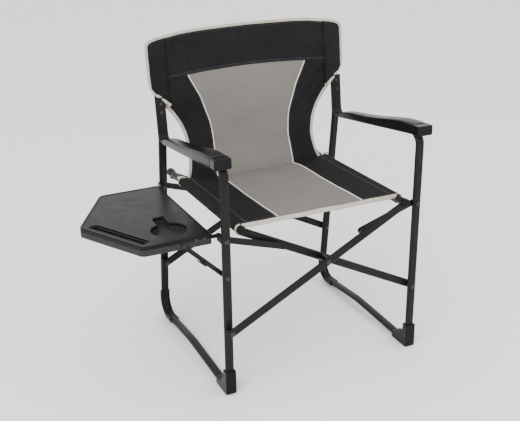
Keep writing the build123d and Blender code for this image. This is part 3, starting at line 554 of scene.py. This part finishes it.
back_soft.append(stitches("top_stitch", front_of(xt, top_z(xt) - 9.0, 1.15), (0, -1, 0)))
xs_ = np.linspace(-249, 249, 160)
back_soft.append(strip("band_fold", front_of(xs_, seam_z(xs_) + 0.4, 0.9), (0, -1, 0), 3.0, 2.2, "dark", 8))

# ------------------------------------------------------------------ seat
RX, RZ, RR = 232.0, 462.5, 12.3
seat_sag = smooth_table([-310, -298, -250, -100, 60, 95, 124, 140], [0.0, 0.0, 2.0, 6.0, 6.0, 10.0, 16.5, 17.0], 9.0)


def seat_z(x, y):
    e = np.clip(1 - (np.abs(x) / RX) ** 2.2, 0, 1)
    w = 0.9 * np.sin(0.05 * x + 0.021 * y + 1.0) + 0.7 * np.sin(-0.03 * x + 0.06 * y) + 0.5 * np.sin(0.11 * x - 0.05 * y + 2.0)
    f = 0.0
    for x0, y0, x1, y1, wd, a in ((-205, 100, -110, 20, 9, 1.8), (205, 100, 110, 20, 9, 1.8), (-170, 118, -60, 60, 8, -1.6),
                                  (175, 118, 60, 60, 8, -1.6), (0, 118, 0, 30, 12, 1.2), (-200, -270, -120, -180, 9, 1.2), (200, -270, 120, -180, 9, 1.2)):
        dx, dy = x1 - x0, y1 - y0
        t = np.clip(((x - x0) * dx + (y - y0) * dy) / (dx * dx + dy * dy), 0, 1)
        f = f + a * np.exp(-((x - x0 - t * dx) ** 2 + (y - y0 - t * dy) ** 2) / (wd * wd)) * (1 - 0.5 * t)
    return RZ + RR - seat_sag(y) * e + (w * 0.6 + f) * e


ys = np.concatenate([[-300.0, -296.6, -296.0], np.linspace(-283.4, -282.6, 2), np.linspace(-276, 122, 62)])
arc = np.radians(np.linspace(284, 92, 20))
xi = np.concatenate([np.linspace(-RX, -124, 14), np.linspace(-124, 124, 34)[1:-1], np.linspace(124, RX, 14)])
NA, NX = len(arc), len(xi)
rows = []
for y in ys:
    L_ = np.stack([-RX + RR * np.cos(arc), np.full(NA, y), RZ + RR * np.sin(arc)], -1)
    M_ = np.stack([xi, np.full(NX, y), seat_z(xi, np.full(NX, y))], -1)
    R_ = L_[::-1].copy()
    R_[:, 0] *= -1
    rows.append(np.concatenate([L_, M_, R_]))
P2 = np.array(rows)


def seat_mat(r, c):
    k = c - NA
    return 1 if 13 <= k < 13 + 33 else 0


def seat_keep(r, c):
    # the left sleeve is cut away round the scissor bar
    return not (2 <= r < 4 and c < 12)


seat = grid("seat_cloth", P2, ["dark", "grey"], seat_mat, keep=seat_keep, thick=2.0)
seat_soft = [seat]
# front hem tape: round the left rail, along the front edge, round the right rail
a1 = np.radians(np.linspace(282, 92, 26))
left_arc = np.stack([-RX + (RR + 0.6) * np.cos(a1), np.full(26, -299.5), RZ + (RR + 0.6) * np.sin(a1)], -1)
xm = np.linspace(-RX + 3, RX - 3, 120)
mid = np.stack([xm, np.full(120, -301.2), seat_z(xm, np.full(120, -300.0)) - 4.2], -1)
right_arc = left_arc[::-1].copy()
right_arc[:, 0] *= -1
nl = np.concatenate([np.stack([np.cos(a1), np.zeros(26), np.sin(a1)], -1)])
seat_soft.append(strip("left_front_ring", left_arc, nl, 8.0, 3.4, "tape", 10, power=0.8))
nr_ = nl[::-1].copy()
nr_[:, 0] *= -1
seat_soft.append(strip("right_front_ring", right_arc, nr_, 8.0, 3.4, "tape", 10, power=0.8))
seat_soft.append(strip("seat_front_binding", mid, (0, -1, 0.25), 12.0, 4.4, "tape", 12, power=0.75))
for s in (-1, 1):
    lr = left_arc.copy()
    lr[:, 1] = 121.5
    lr[:, 0] *= -s
    nn = nl.copy()
    nn[:, 0] *= -s
    seat_soft.append(strip("rear_ring_%s" % ("l" if s < 0 else "r"), lr if s < 0 else lr, nn, 7.0, 3.2, "tape", 10, power=0.8))
    yq = np.linspace(-298, 118, 150)
    xq = np.full(150, s * 124.0)
    seat_soft.append(strip("seat_piping_%s" % ("l" if s < 0 else "r"), np.stack([xq, yq, seat_z(xq, yq) + 1.3], -1), (0, 0, 1), 3.2, 3.2, "pipe", 8))
    xq2 = np.full(150, s * 129.5)
    seat_soft.append(stitches("seat_stitch_%s" % ("l" if s < 0 else "r"), np.stack([xq2, yq, seat_z(xq2, yq) + 1.1], -1), (0, 0, 1)))
    xq3 = np.full(150, s * 214.0)
    seat_soft.append(stitches("rail_stitch_%s" % ("l" if s < 0 else "r"), np.stack([xq3, yq, seat_z(xq3, yq) + 1.1], -1), (0, 0, 1)))
    xq4 = np.full(150, s * 210.0)
    seat_soft.append(stitches("rail_stitch2_%s" % ("l" if s < 0 else "r"), np.stack([xq4, yq, seat_z(xq4, yq) + 1.1], -1), (0, 0, 1)))
xq = np.linspace(-222, 222, 140)
seat_soft.append(stitches("front_hem_stitch", np.stack([xq, np.full(140, -291.0), seat_z(xq, np.full(140, -291.0)) + 1.1], -1), (0, 0, 1)))


# ------------------------------------------------------------------ armrests
def arm_z(y):
    return 609.5 - 0.113 * y


ptop = smooth_table([-345, -318, -285, -245, -195, -125, -70, -20, 30, 70, 92, 110], [668.5, 668.5, 668.5, 665.5, 657, 643.5, 634.5, 628.5, 622.5, 614.5, 607, 602], 8.0)
pin_f = smooth_table([-340, -200, -90, 40, 92, 120], [17.5, 17.5, 16.2, 14.8, 14.0, 13.5], 14.0)
pout_f = smooth_table([-340, -200, -90, 40, 92, 120], [30, 30, 25.5, 19, 16.5, 15.5], 14.0)
for s, tag in ((-1, "left"), (1, "right")):
    yy = np.concatenate([[-319.0, -318.6, -317.5], np.linspace(-315, 84, 60), [88, 90.5, 91.8, 92.2]])
    n = 48
    a = np.linspace(0, 2 * np.pi, n, endpoint=False)
    rows = []
    for y in yy:
        e = 1.0
        if y < -317:
            e = {-319.0: 0.0, -318.6: 0.9, -317.5: 0.985}.get(float(y), 1.0)
        if y > 86:
            e = np.sqrt(max(0.0, 1 - ((y - 86) / 6.3) ** 2)) * 0.98 + 0.02
        wi, wo = float(pin_f(y)), float(pout_f(y))
        zt, zb = float(ptop(y)), arm_z(y) - 6.6
        cz, hz = (zt + zb) / 2, (zt - zb) / 2
        cxm, hx = (wo - wi) / 2, (wo + wi) / 2
        ca, sa = np.cos(a), np.sin(a)
        xs1 = np.sign(ca) * np.abs(ca) ** 0.36
        zs1 = np.sign(sa) * np.abs(sa) ** 0.42
        crown = 1.0 - 0.10 * np.clip(zs1, 0, 1) * np.abs(xs1) ** 2
        rows.append(np.stack([W * s + s * (cxm + hx * xs1 * e), np.full(n, y), cz + hz * zs1 * e * crown], -1))
    pad = grid(tag + "_armrest_moulding", np.array(rows), ["pad"], wrap=True, flip=(s < 0))
    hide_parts(tag + "_armrest_pad")
    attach(pad, tag + "_frame")

# ------------------------------------------------------------------ attach
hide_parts("seat_fabric")
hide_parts("back_fabric")
for o in seat_soft:
    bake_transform(o)
for o in [panel, *back_soft]:
    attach(o, "left_frame")
    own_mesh(o)
for o in left_soft:
    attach(o, "left_frame")
for o in right_soft:
    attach(o, "right_frame")

# ------------------------------------------------------------------ stage
floor_me = bpy.data.meshes.new("floor")
floor_me.from_pydata([(-14, -14, -0.0004), (14, -14, -0.0004), (14, 14, -0.0004), (-14, 14, -0.0004)], [], [(0, 1, 2, 3)])
fg = G("pale_floor")
fg.p.inputs["Base Color"].default_value = (0.96, 0.96, 0.96, 1)
fg.p.inputs["Roughness"].default_value = 0.75
floor_me.materials.append(fg.m)
floor = bpy.data.objects.new("floor", floor_me)
bpy.context.scene.collection.objects.link(floor)

wd = bpy.data.worlds.new("soft") if bpy.context.scene.world is None else bpy.context.scene.world
bpy.context.scene.world = wd
wd.use_nodes = True
bg = wd.node_tree.nodes["Background"]
bg.inputs[0].default_value = (1.0, 1.0, 1.0, 1)
bg.inputs[1].default_value = 1.55


def area(name, loc, target, size, power):
    d = bpy.data.lights.new(name, "AREA")
    d.shape = "SQUARE"
    d.size = size
    d.energy = power
    o = bpy.data.objects.new(name, d)
    o.location = loc
    o.rotation_euler = (Vector(target) - Vector(loc)).to_track_quat("-Z", "Y").to_euler()
    bpy.context.scene.collection.objects.link(o)
    return o


area("key", (-2.6, -2.6, 3.4), (0.1, 0, 0.4), 2.4, 150)
area("fill", (2.8, -1.8, 2.4), (0.1, 0, 0.5), 2.6, 26)

# camera fitted to the view
cam_d = bpy.data.cameras.new("camera")
cam = bpy.data.objects.new("camera", cam_d)
bpy.context.scene.collection.objects.link(cam)
cam_d.sensor_width = 36.0
cam_d.lens = 914.65 / 520.0 * 36.0
cam_d.shift_x = -(264.07 - 260.0) / 520.0
cam_d.shift_y = (217.3 - 210.5) / 520.0
cam_d.clip_end = 60
az, el, ro = math.radians(24.09), math.radians(21.22), math.radians(-1.8)
fw = Vector((math.sin(az) * math.cos(el), math.cos(az) * math.cos(el), -math.sin(el)))
rt = fw.cross(Vector((0, 0, 1))).normalized()
up = rt.cross(fw).normalized()
r2 = rt * math.cos(ro) + up * math.sin(ro)
u2 = up * math.cos(ro) - rt * math.sin(ro)
from mathutils import Matrix
m = Matrix((r2, u2, -fw)).transposed().to_4x4()
m.translation = Vector(((-1047.22 + OX) * MM, (-2273.98 + OY) * MM, 1321.8 * MM))
cam.matrix_world = m
bpy.context.scene.camera = cam
